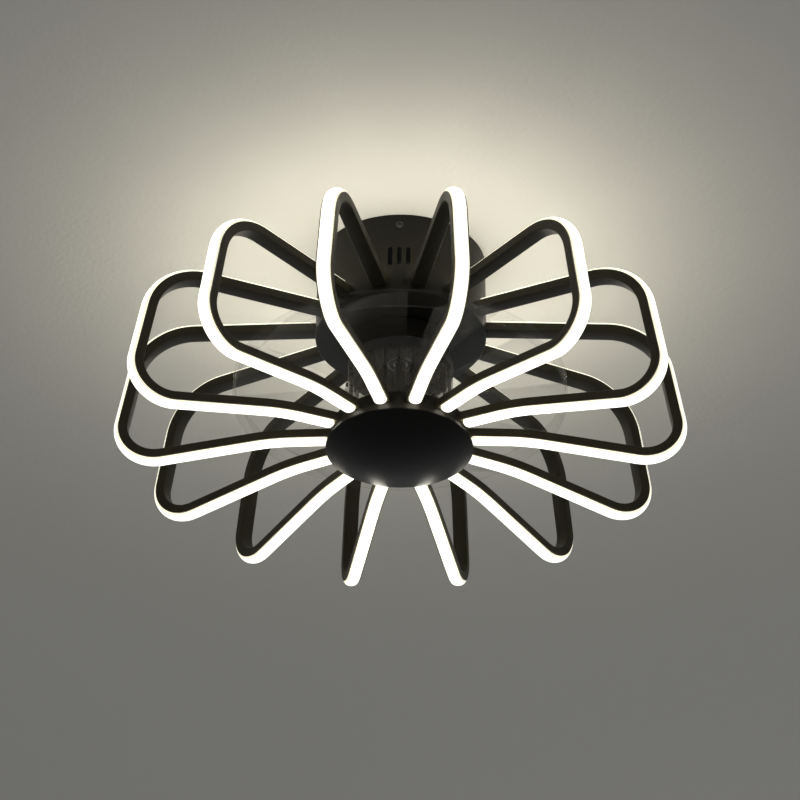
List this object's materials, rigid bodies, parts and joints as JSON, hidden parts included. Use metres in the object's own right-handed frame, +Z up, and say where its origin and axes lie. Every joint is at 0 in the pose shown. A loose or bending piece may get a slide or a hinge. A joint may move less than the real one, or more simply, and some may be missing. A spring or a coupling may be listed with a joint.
{
  "type": "ceiling fan light",
  "caption": "Round ceiling light with a ring of looped black channel arms, their outer faces opal light strips, round a clear fan that turns on a fixed centre shaft.",
  "frame": {"origin": "centre of the ceiling bracket, on the face that lies against the ceiling", "axes": "+Z up, into the ceiling, along the axis that the fan turns about; -Y is the front, where the canopy has its vents; +X is to the right of someone who faces the front"},
  "size_m": [0.6002, 0.5868, 0.2561],
  "materials": {
    "black_enamel": "satin",
    "black_aluminium": "satin",
    "black_screw": "satin",
    "opal": "matte",
    "clear_acrylic": "gloss",
    "black_plastic": "matte",
    "white_plastic": "matte",
    "zinc_steel": "satin",
    "bearing_steel": "gloss",
    "core_steel": "matte",
    "copper_wire": "satin",
    "magnet": "matte",
    "circuit_board": "satin",
    "led_board": "satin"
  },
  "bodies": {
    "frame": {"board_standoffs": "white_plastic", "bottom_cap": "black_enamel", "canopy": "black_enamel", "canopy_screws": "black_screw", "ceiling_bracket": "zinc_steel", "fan_controller": "black_plastic", "led_driver": "black_plastic", "led_strips": "led_board", "lower_bearing": "bearing_steel", "lower_hub": "black_enamel", "module_screws": "zinc_steel", "motor_base": "zinc_steel", "motor_base_screws": "zinc_steel", "motor_shaft": "black_screw", "petal_channel_01": "black_aluminium", "petal_channel_02": "black_aluminium", "petal_channel_03": "black_aluminium", "petal_channel_04": "black_aluminium", "petal_channel_05": "black_aluminium", "petal_channel_06": "black_aluminium", "petal_channel_07": "black_aluminium", "petal_channel_08": "black_aluminium", "petal_channel_09": "black_aluminium", "petal_channel_10": "black_aluminium", "petal_channel_11": "black_aluminium", "petal_channel_12": "black_aluminium", "petal_channel_13": "black_aluminium", "petal_channel_14": "black_aluminium", "petal_diffuser_01": "opal", "petal_diffuser_02": "opal", "petal_diffuser_03": "opal", "petal_diffuser_04": "opal", "petal_diffuser_05": "opal", "petal_diffuser_06": "opal", "petal_diffuser_07": "opal", "petal_diffuser_08": "opal", "petal_diffuser_09": "opal", "petal_diffuser_10": "opal", "petal_diffuser_11": "opal", "petal_diffuser_12": "opal", "petal_diffuser_13": "opal", "petal_diffuser_14": "opal", "shaft_nuts": "black_screw", "stator_core": "core_steel", "stator_windings": "copper_wire", "terminal_block": "white_plastic", "upper_bearing": "bearing_steel", "wiring_board": "circuit_board"},
    "fan": {"rotor_cover": "black_enamel", "rotor_shell": "black_enamel", "magnet_ring": "magnet", "adapter_ring": "black_plastic", "impeller": "clear_acrylic", "impeller_screws": "black_screw"}
  },
  "joints": [
    {"name": "fan_spin", "type": "hinge", "parent": "frame", "child": "fan", "pos_m": [0, 0, -0.118], "axis": [0, 0, 1], "continuous": true}
  ]
}
